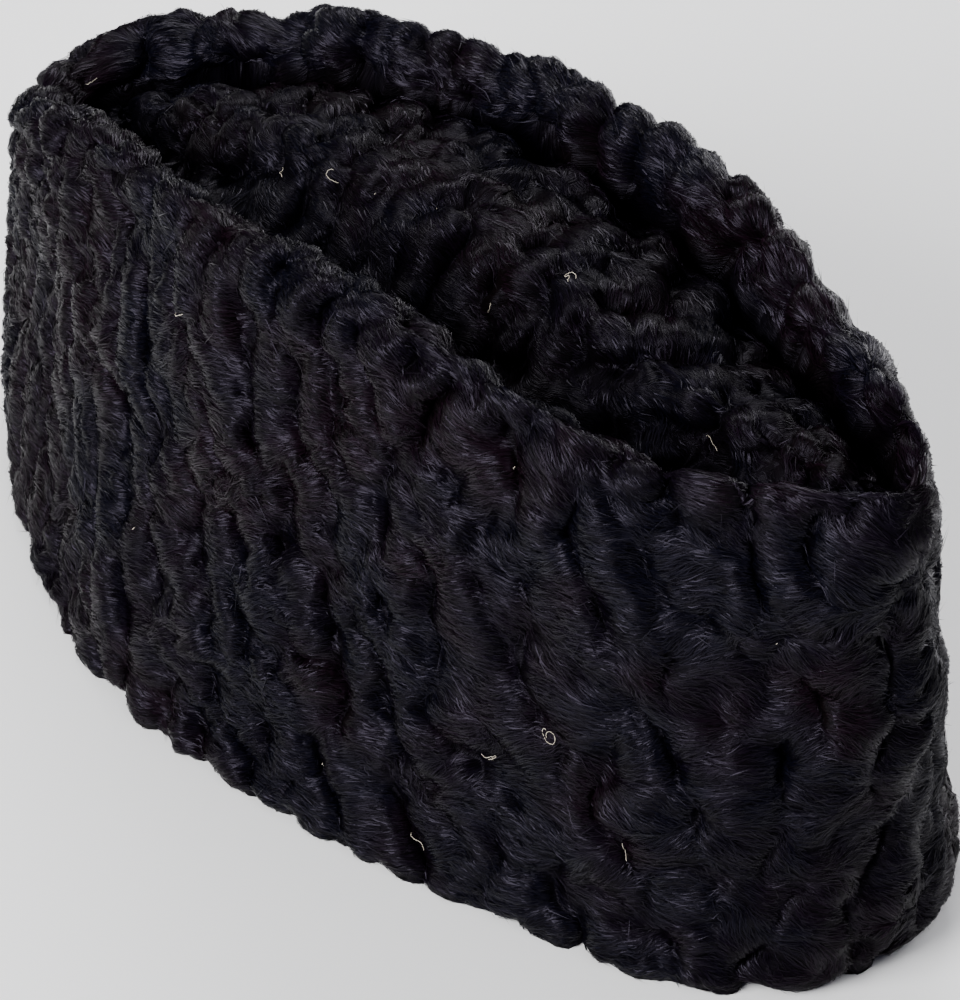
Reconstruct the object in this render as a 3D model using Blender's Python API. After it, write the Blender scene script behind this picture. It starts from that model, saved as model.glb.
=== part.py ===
"""A black karakul cap: a boat-shaped wall of curled lambskin with a rolled rim and a folded-in crown.

The cap stands on its hem on the ground plane. +X runs to the blunt front end, the cap's left and right
walls face +Y and -Y, and the origin lies under the middle of its bounding box. Units are metres.
"""
import math

import bmesh
import bpy
import numpy as np
from mathutils import Matrix

MM = 0.001

# Plan sizes of the four long outlines that the fur is stretched over, from the hem up to the crease.
HEM_HALF_LENGTH = 132.5 * MM
RIM_HALF_LENGTH = 129 * MM
CREASE_HALF_LENGTH = 114 * MM
CROWN_HALF_LENGTH = 113 * MM
# The crease and the crown lie a little further forward than the rim, whose roll is widest at the back.
CREASE_MIDDLE = 5 * MM

# One row for each section along the cap, from the back (-1) to the front (1). A fullness is the half width
# that an ellipse through this section has at mid length; a height is above the ground.
SECTIONS = (
    # station, hem, rim and crease fullness, rim height, depth of the right and left crease and of the ridge
    (-1.0, 57.0, 53.0, 27.0, 79.0, 10.0, 9.0, 2.0),
    (-0.6, 69.0, 41.5, 27.5, 101.0, 13.0, 9.0, 3.5),
    (-0.2, 73.5, 44.0, 30.0, 113.0, 16.0, 11.0, 5.0),
    (0.2, 68.5, 44.0, 29.5, 119.0, 17.0, 13.5, 6.0),
    (0.6, 64.5, 43.0, 27.0, 116.0, 16.0, 14.0, 6.5),
    (1.0, 73.5, 30.0, 22.0, 120.0, 12.0, 12.0, 7.0),
)
STATION, HEM_FULL, RIM_FULL, CREASE_FULL, RIM_HEIGHT, RIGHT_DEPTH, LEFT_DEPTH, RIDGE_DEPTH = range(8)

WALL_THICKNESS = 9.5 * MM
# The rim's roll falls further on its outer side than on its inner side.
RIM_OUTER_FALL = 13 * MM
RIM_INNER_FALL = 8 * MM
HEM_TUCK = 2 * MM
PELT_DEPTH = 8 * MM
CEILING_DROP = 3 * MM
CEILING_REACH = 0.62
SEAM_GAP = 0.3 * MM

# The crown rises from both creases to a ridge along its middle, and falls to the crease at its ends. The
# greater a swell, the wider the low ground; on the right it first sags below the crease.
RIGHT_SWELL = 2.6
RIGHT_SAG = 0.7
LEFT_SWELL = 1.1
END_SWELL = 16

# The curls of the wall run up and over the rim like pipes side by side, narrower at the back.
CURLS = 52
SAMPLES_PER_CURL = 4
CURL_RELIEF = 3.8 * MM
CURL_SECTION = (1.0, 0.72, 0.0, 0.72)
FRONT_CURL_GAIN = 0.22
# A curl slants and sways round the cap as it climbs, by these shares of a curl's width, in a few long waves.
# Its crest sinks a little at each break along it, out of step with the next curl's.
CURL_SLANT = 0.6
SLANT_WAVES = 3
SLANT_CLIMB = (2.1, 0.4)
CURL_SWAY = 0.27
SWAY_WAVES = 6
SWAY_CLIMB = 5.2
BREAK_LENGTH = 34 * MM
BREAK_SHARE = 0.22
BREAK_STEP = 2.4
# The crown's lumps lie in a quilt of two crossing waves, each bent by the other.
LUMP_RELIEF = 2.6 * MM
LUMP_SINK = 0.4
LUMP_FADE = 3
LUMP_SPACING = 15 * MM
LUMP_BEND_ACROSS = 1.6
LUMP_BEND_ALONG = 0.9
LUMP_BEND_WAVE = 0.4

WALL_ROWS = 10
RIM_ROWS = 4
DROP_ROWS = 2
INNER_ROWS = 2
CROWN_STATIONS = 48
CROWN_STRIPS = 16
UNDER_STRIPS = 4

FUR_BLACK = (0.011, 0.009, 0.013, 1.0)


def station_value(column, along):
    """A value of the section table at any place along the cap, by a smooth curve through its rows."""
    rows = np.array(SECTIONS)
    step = rows[1, STATION] - rows[0, STATION]
    values = rows[:, column]
    padded = np.concatenate(([2 * values[0] - values[1]], values, [2 * values[-1] - values[-2]]))
    place = np.clip((np.asarray(along) + 1) / step, 0, len(values) - 1 - 1e-9)
    row = place.astype(int)
    f = place - row
    before, here, after, beyond = (padded[row + k] for k in range(4))
    slope_here = (after - before) / 2
    slope_after = (beyond - here) / 2
    return (
        here * (2 * f**3 - 3 * f**2 + 1)
        + slope_here * (f**3 - 2 * f**2 + f)
        + after * (3 * f**2 - 2 * f**3)
        + slope_after * (f**3 - f**2)
    )


def outline(turn, half_length, fullness_column, widen=0.0, middle=0.0):
    """Plan points of one outline at an angle round the cap, 0 at the front and rising towards +Y."""
    along = np.cos(turn)
    fullness = station_value(fullness_column, along) * MM + widen
    return np.stack([middle + half_length * along, fullness * np.sin(turn)], axis=-1)


def crease_depth(turn, sides):
    """How far the crease lies below the rim at an angle round the cap; sides runs from -1 on the right to 1."""
    right, left = (station_value(column, np.cos(turn)) for column in (RIGHT_DEPTH, LEFT_DEPTH))
    return blend(right, left, (1 + sides * np.abs(np.sin(turn))) / 2) * MM


def even_turns(fractions):
    """Angles for fractions of the way round the hem, with the curls widened towards the front."""
    fine = np.linspace(0, 2 * math.pi, 2001)
    points = outline(fine, HEM_HALF_LENGTH, HEM_FULL)
    steps = np.linalg.norm(np.diff(points, axis=0), axis=1)
    middle = (fine[1:] + fine[:-1]) / 2
    steps = steps * (1 - FRONT_CURL_GAIN * np.cos(middle))
    travelled = np.concatenate(([0], np.cumsum(steps)))
    whole = np.floor(fractions)
    return np.interp(fractions - whole, travelled / travelled[-1], fine) + 2 * math.pi * whole


def blend(a, b, share):
    return a + (b - a) * share


def raised(plan, height):
    height = np.broadcast_to(height, plan.shape[:-1])
    return np.concatenate([plan, height[..., None]], axis=-1)


def band_section(turn):
    """The side band's closed section at each angle: rows of points from the hem round and back to it."""
    along = np.cos(turn)
    hem = outline(turn, HEM_HALF_LENGTH, HEM_FULL)
    rim = outline(turn, RIM_HALF_LENGTH, RIM_FULL)
    crease = outline(turn, CREASE_HALF_LENGTH, CREASE_FULL, middle=CREASE_MIDDLE)
    hem_in = outline(turn, HEM_HALF_LENGTH - WALL_THICKNESS, HEM_FULL, -WALL_THICKNESS)
    top = station_value(RIM_HEIGHT, along) * MM
    low = top - crease_depth(turn, np.sign(np.sin(turn)))
    shoulder = top - RIM_OUTER_FALL
    rows = []
    for k in range(WALL_ROWS):
        share = k / WALL_ROWS
        tuck = HEM_TUCK if k == 0 else 0.0
        plan = blend(hem, rim, share * shoulder[:, None] / top[:, None]) * (1 - tuck / HEM_HALF_LENGTH)
        rows.append(raised(plan, share * shoulder))
    for k in range(RIM_ROWS):
        angle = math.pi * k / RIM_ROWS
        outer = blend(hem, rim, (shoulder / top)[:, None])
        plan = blend(outer, crease, (1 - math.cos(angle)) / 2)
        fall = RIM_OUTER_FALL if k < RIM_ROWS / 2 else RIM_INNER_FALL
        rows.append(raised(plan, top - fall * (1 - math.sin(angle))))
    for k in range(DROP_ROWS):
        rows.append(raised(crease, blend(top - RIM_INNER_FALL, low, k / DROP_ROWS)))
    rows.append(raised(crease, low))
    furred = len(rows)
    rows.append(raised(crease, low - PELT_DEPTH))
    corner = blend(crease, rim, CEILING_REACH)
    ceiling = low - PELT_DEPTH - CEILING_DROP
    for k in range(INNER_ROWS + 1):
        share = k / INNER_ROWS
        rows.append(raised(blend(corner, hem_in, share), blend(ceiling, 0, share)))
    return np.array(rows), furred


def swell(sides):
    """How far the crown has risen across it, from the right crease (-1) to its ridge (0) and the left crease."""
    room = 1 - sides**2
    sag = (2 * sides)**2 * room
    return np.where(sides < 0, room**RIGHT_SWELL - RIGHT_SAG * sag, room**LEFT_SWELL)


def crown_loops(turns, sides):
    """The crown's surface without its lumps: one loop for each station from front to back.

    A loop goes over the fur from the right crease to the left one, and back along the bare underside.
    """
    along = np.cos(turns)[:, None]
    edge = outline(turns, CROWN_HALF_LENGTH, CREASE_FULL, -SEAM_GAP, CREASE_MIDDLE)
    depth = crease_depth(turns[:, None], sides)
    low = station_value(RIM_HEIGHT, along) * MM - depth
    rise = depth - station_value(RIDGE_DEPTH, along) * MM
    height = low + rise * (1 - along**END_SWELL) * swell(sides)
    top = np.stack([edge[:, :1] + 0 * sides, edge[:, 1:] * sides, height], axis=-1)
    step = (len(sides) - 1) // UNDER_STRIPS
    under = top[:, ::-step] - np.array([0, 0, PELT_DEPTH])
    return np.concatenate([top, under], axis=1)


def outward(points):
    """Unit normals of a furred grid of points, rows by columns, that point away from the solid."""
    round_step = np.roll(points, -1, axis=1) - np.roll(points, 1, axis=1)
    up_step = np.gradient(points, axis=0)
    normal = np.cross(round_step, up_step)
    length = np.linalg.norm(normal, axis=-1, keepdims=True)
    return normal / np.maximum(length, 1e-12)


def fused_grid(name, points, colour, ring):
    """A closed body from a grid of points, rows by columns, joined all round its columns.

    A ring's last row also joins its first one. Otherwise both are folded flat, and close themselves.
    """
    rows, columns = points.shape[:2]
    mesh_grid = bmesh.new()
    bmesh.ops.create_grid(mesh_grid, x_segments=columns, y_segments=rows if ring else rows - 1, size=1)
    mesh_grid.verts.ensure_lookup_table()
    for vertex in mesh_grid.verts:
        row, column = divmod(vertex.index, columns + 1)
        vertex.co = points[row % rows, column % columns]
    bmesh.ops.remove_doubles(mesh_grid, verts=mesh_grid.verts, dist=1e-6)
    bmesh.ops.recalc_face_normals(mesh_grid, faces=mesh_grid.faces)
    mesh = bpy.data.meshes.new(name)
    mesh_grid.to_mesh(mesh)
    mesh_grid.free()
    mesh.shade_smooth()
    piece = bpy.data.objects.new(name, mesh)
    material = bpy.data.materials.new(name + "_fur")
    material.use_nodes = True
    surface = material.node_tree.nodes["Principled BSDF"]
    surface.inputs["Base Color"].default_value = colour
    surface.inputs["Roughness"].default_value = 0.45
    surface.inputs["Metallic"].default_value = 0.0
    mesh.materials.append(material)
    return piece


def curl_turns(climb, columns):
    """The columns' angles at a share of the way up the fur, as the curls wander."""
    column = np.arange(columns)
    round_cap = 2 * math.pi * column / columns
    slant = CURL_SLANT * math.sin(SLANT_CLIMB[0] * climb + SLANT_CLIMB[1])
    slant = slant * np.sin(SLANT_WAVES * round_cap + 1)
    sway = CURL_SWAY * np.sin(SWAY_CLIMB * climb + SWAY_WAVES * round_cap)
    wander = (slant + sway) * (1 - climb**3)
    return even_turns((column / SAMPLES_PER_CURL + wander) / CURLS)


def curl_height(fur):
    """How far the curls stand out along the furred rows: 0 on the highest crests, and below it elsewhere."""
    rows, columns = fur.shape[:2]
    column = np.arange(columns)
    pipe = np.array(CURL_SECTION)[column % SAMPLES_PER_CURL]
    travelled = np.cumsum(np.linalg.norm(np.diff(fur, axis=0, prepend=fur[:1]), axis=-1), axis=0)
    waves = 2 * math.pi * travelled / BREAK_LENGTH + BREAK_STEP * (column // SAMPLES_PER_CURL)
    crest = 1 - BREAK_SHARE + BREAK_SHARE * np.sin(waves)
    fade = np.clip(np.arange(rows - 1, -1, -1) / DROP_ROWS, 0, 1)
    return (pipe * crest - 1) * CURL_RELIEF * fade[:, None]


def side_band():
    """The wall, the rolled rim and the inner fold in one, with a pipe curl on every fourth column."""
    columns = CURLS * SAMPLES_PER_CURL
    plain, furred = band_section(even_turns(np.arange(columns) / columns))
    climbs = [min(row / furred, 1) for row in range(len(plain))]
    points = np.array([band_section(curl_turns(climb, columns))[0][row] for row, climb in enumerate(climbs)])
    fur = points[:furred]
    away = outward(fur)
    away[0, :, 2] = 0
    points[:furred] = fur + away * curl_height(fur)[..., None]
    return fused_grid("side_band", points, FUR_BLACK, ring=True)


def crown():
    """The folded-in top, with soft lumps of curl across it."""
    sides = np.linspace(-1, 1, CROWN_STRIPS + 1)
    turns = np.linspace(0, math.pi, CROWN_STATIONS)
    points = crown_loops(turns, sides)
    fur = points[:, :len(sides)]
    x, y = fur[..., 0], fur[..., 1]
    wave = 2 * math.pi / LUMP_SPACING
    along = np.sin(wave * x + LUMP_BEND_ACROSS * np.sin(wave * y / 2))
    across = np.cos(wave * y / 2 + LUMP_BEND_ALONG * np.sin(wave * x * LUMP_BEND_WAVE))
    fade = np.clip((1 - np.abs(sides)) * LUMP_FADE, 0, 1) * np.clip(np.sin(turns) * LUMP_FADE, 0, 1)[:, None]
    fur[..., 2] += LUMP_RELIEF * (along * across - LUMP_SINK) * fade
    return fused_grid("crown", points, FUR_BLACK, ring=False)


def centre_over_origin(pieces):
    """Slides the pieces together along the ground, so that the origin lies under the middle of their box."""
    corners = np.array([vertex.co for piece in pieces for vertex in piece.data.vertices])
    middle = (corners.min(axis=0) + corners.max(axis=0)) / 2
    for piece in pieces:
        piece.data.transform(Matrix.Translation((-middle[0], -middle[1], 0)))


def main():
    for old in list(bpy.data.objects):
        bpy.data.objects.remove(old, do_unlink=True)
    cap = bpy.data.collections.new("karakul_cap")
    bpy.context.scene.collection.children.link(cap)
    pieces = [side_band(), crown()]
    centre_over_origin(pieces)
    for piece in pieces:
        cap.objects.link(piece)


main()
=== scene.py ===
"""The looks of a black karakul cap: curled lamb fur on the wall, the rolled rim and the folded-in crown."""
import math

import bmesh
import bpy
import numpy as np
from mathutils import Matrix, Vector
from mathutils.kdtree import KDTree


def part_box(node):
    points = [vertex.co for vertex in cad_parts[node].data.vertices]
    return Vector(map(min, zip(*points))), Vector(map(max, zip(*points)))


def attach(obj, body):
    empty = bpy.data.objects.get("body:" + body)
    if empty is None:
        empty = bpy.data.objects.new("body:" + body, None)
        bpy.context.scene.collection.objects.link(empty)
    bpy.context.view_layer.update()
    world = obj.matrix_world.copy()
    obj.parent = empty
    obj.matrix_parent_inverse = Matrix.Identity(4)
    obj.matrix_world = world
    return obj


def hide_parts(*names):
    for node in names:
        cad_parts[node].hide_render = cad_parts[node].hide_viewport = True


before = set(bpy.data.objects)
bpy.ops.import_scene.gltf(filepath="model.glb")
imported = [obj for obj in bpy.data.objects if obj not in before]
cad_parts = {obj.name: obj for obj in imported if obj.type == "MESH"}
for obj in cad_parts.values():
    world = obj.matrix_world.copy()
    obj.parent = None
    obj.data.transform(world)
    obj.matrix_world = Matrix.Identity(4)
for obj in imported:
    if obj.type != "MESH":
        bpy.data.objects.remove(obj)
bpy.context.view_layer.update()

MM = 0.001

# The camera stands where the photograph's did, seen from the cap: its turn from +X, its height angle, its
# distance from the point that it looks at, and its small roll. The focal length is in picture widths.
CAMERA_TURN = math.radians(-41.63)
CAMERA_RISE = math.radians(42.18)
CAMERA_DISTANCE = 0.864
CAMERA_ROLL = math.radians(0.376)
CAMERA_AIM = Vector((41.6, -29.0, 76.5)) * MM
FOCAL_WIDTHS = 4557.4 / 960
SENSOR_WIDTH = 36.0

# Soft square lamps round the cap: their turn from the camera, height angle, size and power.
LAMPS = {
    # name: (turn degrees, rise degrees, size m, power W)
    "key_left": (-56.0, 32.0, 0.7, 31.5),
    "edge_left": (-135.0, 45.0, 0.6, 2.0),
    "edge_back": (180.0, 45.0, 0.6, 13.0),
    "fill_right": (50.0, 62.0, 0.8, 4.0),
    "far_side": (136.0, 4.0, 0.9, 26.0),
}
LAMP_DISTANCE = 1.2
LAMP_AIM = Vector((0, 0, 60)) * MM
WORLD_COLOUR = "#c9c6ff"
WORLD_STRENGTH = 0.08
FLOOR_HALF_WIDTH = 3.0

# Plan sizes of the four long outlines that the fur is stretched over, from the hem up to the crease.
HEM_HALF_LENGTH = 132.5 * MM
RIM_HALF_LENGTH = 129 * MM
CREASE_HALF_LENGTH = 114 * MM
CROWN_HALF_LENGTH = 113 * MM
# The crease and the crown lie a little further forward than the rim, whose roll is widest at the back.
CREASE_MIDDLE = 5 * MM

# One row for each section along the cap, from the back (-1) to the front (1). A fullness is the half width
# that an ellipse through this section has at mid length; a height is above the ground.
SECTIONS = (
    # station, hem, rim and crease fullness, rim height, depth of the right and left crease and of the ridge
    (-1.0, 57.0, 53.0, 27.0, 79.0, 10.0, 9.0, 2.0),
    (-0.6, 69.0, 41.5, 27.5, 101.0, 13.0, 9.0, 3.5),
    (-0.2, 73.5, 44.0, 30.0, 113.0, 16.0, 11.0, 5.0),
    (0.2, 68.5, 44.0, 29.5, 119.0, 17.0, 13.5, 6.0),
    (0.6, 64.5, 43.0, 27.0, 116.0, 16.0, 14.0, 6.5),
    (1.0, 73.5, 30.0, 22.0, 120.0, 12.0, 12.0, 7.0),
)
STATION, HEM_FULL, RIM_FULL, CREASE_FULL, RIM_HEIGHT, RIGHT_DEPTH, LEFT_DEPTH, RIDGE_DEPTH = range(8)

# The wall's thickness at the hem, how far the hem tucks in and how fast that ends on the way up.
WALL_THICKNESS = 9.5 * MM
HEM_TUCK = 2 * MM
TUCK_END = 25
# The rim's roll falls further on its outer side than on its inner side.
RIM_OUTER_FALL = 13 * MM
RIM_INNER_FALL = 8 * MM
# The pelt's depth at the crease and under the crown's fur. The ceiling is the bare side under the rim: how
# far it drops below the crease's pelt, and how far it reaches out from the crease to the rim.
PELT_DEPTH = 8 * MM
CROWN_PELT_DEPTH = 10.5 * MM
CEILING_DROP = 3 * MM
CEILING_REACH = 0.62
SEAM_GAP = 0.3 * MM
# How the crown climbs from each crease to its ridge, how far its right side sags first, and how late it
# falls off towards its ends.
RIGHT_SWELL = 2.6
RIGHT_SAG = 0.7
LEFT_SWELL = 1.1
END_SWELL = 16
# The hem is measured in this many steps to space the curls evenly round it.
HEM_SAMPLES = 2001

# The long curls of the wall, as the solid has them: how many go round, and how they wander as they climb.
CURLS = 52
FRONT_CURL_GAIN = 0.22
CURL_SLANT = 0.6
SLANT_WAVES = 3
SLANT_CLIMB = (2.1, 0.4)
CURL_SWAY = 0.27
SWAY_WAVES = 6
SWAY_CLIMB = 5.2

# How the furred length of a section divides into the wall, the rolled rim and the drop to the crease.
WALL_SHARE = 0.74
RIM_SHARE = 0.19
DROP_SHARE = 1 - WALL_SHARE - RIM_SHARE

# The skin under the hairs is a grid with points about a millimetre apart.
BAND_COLUMNS = 620
BAND_ROWS = 138
CROWN_STATIONS = 290
CROWN_STRIPS = 60
UNDER_STRIPS = 6
INNER_ROWS = 5

# Curls by region: their width across, how far they stand out, how far they stray from the even pipes of the
# solid (in turns of phase), their slant from upright, how much that slant varies, and how high the smaller
# waves on them stand, as a share of the relief.
REGIONS = {
    # name: (width mm, relief mm, stray, slant degrees, slant spread degrees, share of smaller waves)
    "back": (8.5, 3.0, 0.50, -8.0, 40.0, 0.50),
    "middle": (12.5, 4.4, 0.60, -30.0, 36.0, 0.46),
    "front": (17.0, 3.9, 0.80, -20.0, 62.0, 0.45),
    "rim": (10.0, 5.4, 0.45, 0.0, 34.0, 0.30),
    "back_rim": (14.0, 5.6, 0.80, 0.0, 60.0, 0.40),
    "front_rim": (17.0, 6.4, 0.85, 0.0, 65.0, 0.40),
    "crown": (13.5, 6.2, 0.65, 90.0, 70.0, 0.24),
}
WIDTH, RELIEF, STRAY, SLANT, SPREAD, SMALLER = range(6)
# Where one region changes into the next along the cap: the start and the length of each change in x.
TO_FRONT = (25 * MM, 60 * MM)
TO_BACK = (-35 * MM, -45 * MM)
TO_TIP = (104 * MM, 16 * MM)
# The rim turns so tightly round the front tip that its relief is lower there, by this share.
TIP_DROP = 0.55
# How far below the rim's first row the wall's curls begin to change into the rim's, and over what share.
RIM_LEAD = 0.10
RIM_CHANGE = 0.12
# The smaller waves that ride on the curls: their width and slant spread as shares of the region's numbers,
# how far they stray, how far they turn the hairs, and the length over which their fullness varies, also as a
# share.
FINE_WIDTH = 0.46
FINE_SPREAD = 1.5
FINE_STRAY = 0.5
FINE_PULL = 0.30
FINE_PATCH = 0.7
# How full the curls are: mean, how much that varies, its wavelength and its limits.
FULLNESS = 0.74
FULLNESS_SWING = 0.46
FULLNESS_PATCH = 12 * MM
FULLNESS_LIMITS = (0.12, 1.25)
VALLEY_SHARPNESS = 1.25
# Calm and restless patches: how much the stray and spread vary and over what length, and how much the width
# does.
UNREST = 0.5
UNREST_PATCH = 34 * MM
UNREST_LIMITS = (0.35, 1.7)
BREADTH_SWING = 0.16
BREADTH_LIMITS = (0.7, 1.35)
# The whole band also billows in and out a little, except within an eighth of its height from hem and crease.
BILLOW = 1.5 * MM
BILLOW_PATCH = 38 * MM
BILLOW_FADE = 8
# The short wave packets that the curls are summed from: how many for each square of a curl's width, their
# reach in curl widths and in grid steps, and how much their slant and width vary.
KERNELS_PER_CURL = 5.0
KERNEL_SIGMA = 0.72
KERNEL_WINDOW = 44
KERNEL_SLANT = 0.7
KERNEL_WIDTH_SCATTER = 0.12
# A summed wave counts as a full curl from this strength on. Where waves cancel, the fur lies this far down.
FIRM_WAVE = 0.16
SLACK_DROP = 0.45
NOISE_WAVES = 9
# How far a curl's flanks are pushed outwards to round it, and how far it leans, as a share of its relief.
ROUNDING = 0.70
LEAN = 0.2
SKIN_INSET = 0.9 * MM
# Pits deeper than the knee flatten out, so that none goes through the pelt.
PIT_KNEE = 4.8 * MM
PIT_ROOM = 1.8 * MM

# The hairs are cut ribbons in small locks, each lock following one path over a curl.
HAIRS_PER_LOCK = 8
LOCK_SPREAD = 1.1
LOCK_SWAY = math.radians(8)
HAIR_SWAY = math.radians(5)
HAIR_TILT = math.radians(20)
HAIR_ROLL = math.radians(18)
HAIR_LENGTH = 4.6 * MM
LENGTH_LIMITS = (0.7, 1.3)
HAIR_WIDTH = 0.19 * MM
WIDTH_LIMITS = (0.75, 1.3)
ROOT_WIDTH = 0.7
HAIR_BEND = 0.42
HAIR_CLEARANCE = 0.15 * MM
# How far a hair's root lies in the skin, and how far its bend and its tip stand off it: at least, and more
# with the hair's own lift. A wild hair's tip stands out further.
ROOT_DEPTH = 0.25
BEND_LIFT = (0.12, 0.40)
TIP_LIFT = (0.03, 0.50)
WILD_LIFT = 1.2
WILD_SHARE = 0.02
WILD_LIMITS = (0.4, 1.6)
# From a shallow valley to a deep one, in millimetres, hairs stop more and more before the valley. Their
# roots and tips then lie no further across the curl than these phases, the tips within their limits.
SHALLOW = 2.0
DEEP = 3.6
LAST_ROOT = 0.45 * math.pi
LAST_TIP = 0.9 * math.pi
ROOM_LIMITS = (0.85, 1.1)
# A hair goes no further than this over the skin's grid, also where the grid is squeezed.
MOST_ROWS = 6
MOST_COLUMNS = 9
BAND_LOCKS = 28000
CROWN_LOCKS = 3600
# Where a ribbon's seven face corners lie across and along it: its four-sided face and then its tip.
RIBBON_PLACES = ((0, 0), (1, 0), (1, HAIR_BEND), (0, HAIR_BEND), (0, HAIR_BEND), (1, HAIR_BEND), (0.5, 1))

# The fine strands drawn on the skin between the hairs: patches like small locks, each with one direction.
PATCH_AREA = 7.0 * MM * MM
PATCH_WIDTH = 1.8
PATCH_LENGTH = 4.5
PATCH_CHOICES = 6
STRAND_PITCH = 0.22
STRAND_LENGTH = 4.0
# Black lamb's hair reflects with a faint violet cast.
LUSTRE_TINT = (0.82, 0.73, 1.0, 1.0)

# Pale fibres and specks that have settled on the fur. A place on the band is its share of the way round and
# of the way up; one on the crown is its share of the way from front to back and across from the right crease.
BAND_LINT = (
    # round, up, length mm, heading degrees, bend degrees for each mm, crinkle degrees
    (0.724, 0.720, 15.0, -95.0, 9.0, 4.0),
    (0.897, 0.345, 9.0, 150.0, -62.0, 8.0),
    (0.881, 0.262, 6.0, 100.0, 40.0, 55.0),
    (0.923, 0.204, 5.5, 200.0, 34.0, 4.0),
    (0.860, 0.075, 4.5, 20.0, 14.0, 20.0),
    (0.829, 0.126, 3.0, 260.0, 10.0, 30.0),
    (0.876, 0.730, 1.4, 250.0, 0.0, 10.0),
    (0.732, 0.285, 0.9, 80.0, 0.0, 0.0),
    (0.950, 0.584, 0.7, 20.0, 0.0, 0.0),
    (0.505, 0.876, 3.0, 60.0, 20.0, 30.0),
    (0.240, 0.550, 5.0, 40.0, 25.0, 30.0),
    (0.380, 0.300, 7.0, 120.0, -18.0, 12.0),
)
CROWN_LINT = (
    (0.637, 0.283, 4.0, 30.0, 12.0, 30.0),
    (0.602, 0.383, 5.0, 200.0, 10.0, 35.0),
    (0.412, 0.450, 6.5, 10.0, 4.0, 48.0),
    (0.446, 0.267, 2.5, 60.0, 20.0, 25.0),
    (0.284, 0.300, 4.5, 350.0, -22.0, 15.0),
    (0.568, 0.367, 0.6, 0.0, 0.0, 0.0),
    (0.526, 0.467, 0.5, 0.0, 0.0, 0.0),
    (0.512, 0.533, 0.6, 0.0, 0.0, 0.0),
)
LINT_STEP = 0.35 * MM
LINT_RADIUS = 0.055 * MM
LINT_LIFT = 0.55 * MM
LINT_LIFT_SWING = 0.25 * MM
LINT_LIFT_PACE = 0.6


def station_value(column, along):
    """A value of the section table at any place along the cap, by a smooth curve through its rows."""
    rows = np.array(SECTIONS)
    step = rows[1, STATION] - rows[0, STATION]
    values = rows[:, column]
    padded = np.concatenate(([2 * values[0] - values[1]], values, [2 * values[-1] - values[-2]]))
    place = np.clip((np.asarray(along) + 1) / step, 0, len(values) - 1 - 1e-9)
    row = place.astype(int)
    f = place - row
    before, here, after, beyond = (padded[row + k] for k in range(4))
    slope_here = (after - before) / 2
    slope_after = (beyond - here) / 2
    return (
        here * (2 * f**3 - 3 * f**2 + 1)
        + slope_here * (f**3 - 2 * f**2 + f)
        + after * (3 * f**2 - 2 * f**3)
        + slope_after * (f**3 - f**2)
    )


def outline(turn, half_length, fullness_column, widen=0.0, middle=0.0):
    """Plan points of one outline at an angle round the cap, 0 at the front and rising towards +Y."""
    along = np.cos(turn)
    fullness = station_value(fullness_column, along) * MM + widen
    return np.stack([middle + half_length * along, fullness * np.sin(turn)], axis=-1)


def crease_depth(turn, sides):
    """How far the crease lies below the rim at an angle round the cap; sides goes from -1 (right) to 1."""
    right, left = (station_value(column, np.cos(turn)) for column in (RIGHT_DEPTH, LEFT_DEPTH))
    return blend(right, left, (1 + sides * np.abs(np.sin(turn))) / 2) * MM


def even_turns(fractions):
    """Angles for fractions of the way round the hem, with the curls widened towards the front."""
    fine = np.linspace(0, 2 * math.pi, HEM_SAMPLES)
    points = outline(fine, HEM_HALF_LENGTH, HEM_FULL)
    steps = np.linalg.norm(np.diff(points, axis=0), axis=1)
    middle = (fine[1:] + fine[:-1]) / 2
    steps = steps * (1 - FRONT_CURL_GAIN * np.cos(middle))
    travelled = np.concatenate(([0], np.cumsum(steps)))
    whole = np.floor(fractions)
    return np.interp(fractions - whole, travelled / travelled[-1], fine) + 2 * math.pi * whole


def blend(a, b, share):
    return a + (b - a) * share


def raised(plan, height):
    height = np.broadcast_to(height, plan.shape[:-1])
    return np.concatenate([plan, height[..., None]], axis=-1)


def band_fur(turn, climbs):
    """The band's furred surface without its curls: rows up the wall, over the rim and down to the crease."""
    along = np.cos(turn)
    hem = outline(turn, HEM_HALF_LENGTH, HEM_FULL)
    rim = outline(turn, RIM_HALF_LENGTH, RIM_FULL)
    crease = outline(turn, CREASE_HALF_LENGTH, CREASE_FULL, middle=CREASE_MIDDLE)
    top = station_value(RIM_HEIGHT, along) * MM
    low = top - crease_depth(turn, np.sign(np.sin(turn)))
    shoulder = top - RIM_OUTER_FALL
    outer = blend(hem, rim, (shoulder / top)[:, None])
    rows = []
    for climb in climbs:
        if climb < WALL_SHARE:
            share = climb / WALL_SHARE
            tuck = HEM_TUCK * max(1 - share * TUCK_END, 0) ** 2
            plan = blend(hem, rim, share * shoulder[:, None] / top[:, None]) * (1 - tuck / HEM_HALF_LENGTH)
            rows.append(raised(plan, share * shoulder))
        elif climb < WALL_SHARE + RIM_SHARE:
            angle = math.pi * (climb - WALL_SHARE) / RIM_SHARE
            plan = blend(outer, crease, (1 - math.cos(angle)) / 2)
            fall = RIM_OUTER_FALL if angle < math.pi / 2 else RIM_INNER_FALL
            rows.append(raised(plan, top - fall * (1 - math.sin(angle))))
        else:
            share = (climb - WALL_SHARE - RIM_SHARE) / DROP_SHARE
            rows.append(raised(crease, blend(top - RIM_INNER_FALL, low, share)))
    return np.array(rows)


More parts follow.
